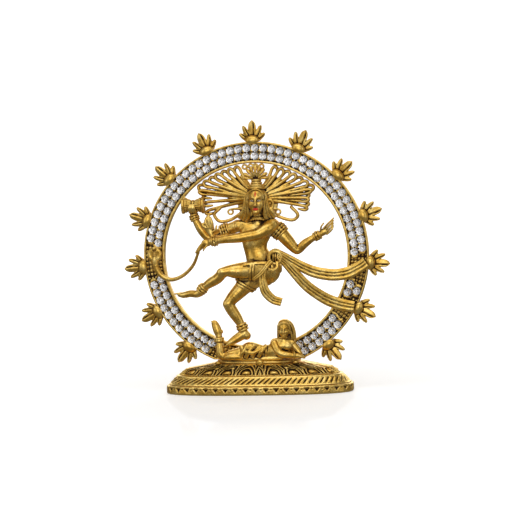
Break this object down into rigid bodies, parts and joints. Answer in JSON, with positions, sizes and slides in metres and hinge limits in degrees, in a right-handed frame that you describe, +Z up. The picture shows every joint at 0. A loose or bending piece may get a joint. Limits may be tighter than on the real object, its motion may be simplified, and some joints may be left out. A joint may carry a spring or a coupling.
{
  "type": "nataraja statue",
  "caption": "Small brass dancing figure with four arms inside a flame-edged ring set with two rows of rhinestones, on an oval lotus base",
  "frame": {"origin": "centre of the base's flat underside", "axes": "+Z up, the front of the figure faces -Y, +X to the viewer's right"},
  "size_m": [0.076, 0.019, 0.0766],
  "materials": {
    "antique_brass": "antique gold plating, satin on the high points with dark brown patina in the hollows",
    "rhinestone": "clear faceted foil-backed glass"
  },
  "bodies": {
    "root": {"anklet_raised": "antique_brass", "anklet_standing": "antique_brass", "armlet_left": "antique_brass", "armlet_right": "antique_brass", "base_plinth": "antique_brass", "blessing_arm": "antique_brass", "bracelet_crossing": "antique_brass", "bracelet_drum": "antique_brass", "bracelet_open": "antique_brass", "cobra": "antique_brass", "crossing_arm": "antique_brass", "crown": "antique_brass", "crystals_left": "rhinestone", "crystals_lower_right": "rhinestone", "crystals_right": "rhinestone", "crystals_upper": "rhinestone", "dais_slab": "antique_brass", "drum": "antique_brass", "drum_arm": "antique_brass", "dwarf_arms": "antique_brass", "dwarf_body": "antique_brass", "dwarf_head": "antique_brass", "dwarf_legs": "antique_brass", "ear_ornament": "antique_brass", "flame_01": "antique_brass", "flame_02": "antique_brass", "flame_03": "antique_brass", "flame_04": "antique_brass", "flame_05": "antique_brass", "flame_06": "antique_brass", "flame_07": "antique_brass", "flame_08": "antique_brass", "flame_09": "antique_brass", "flame_10": "antique_brass", "flame_11": "antique_brass", "flame_12": "antique_brass", "flame_13": "antique_brass", "hair_left": "antique_brass", "hair_right": "antique_brass", "halo_ring": "antique_brass", "head": "antique_brass", "loincloth": "antique_brass", "lotus_mound": "antique_brass", "necklace": "antique_brass", "open_hand_arm": "antique_brass", "raised_leg": "antique_brass", "rope_moulding": "antique_brass", "sash_knot": "antique_brass", "sash_tail": "antique_brass", "standing_leg": "antique_brass", "streamer_lower": "antique_brass", "streamer_upper": "antique_brass", "torso": "antique_brass", "waist_cord": "antique_brass"}
  },
  "joints": []
}
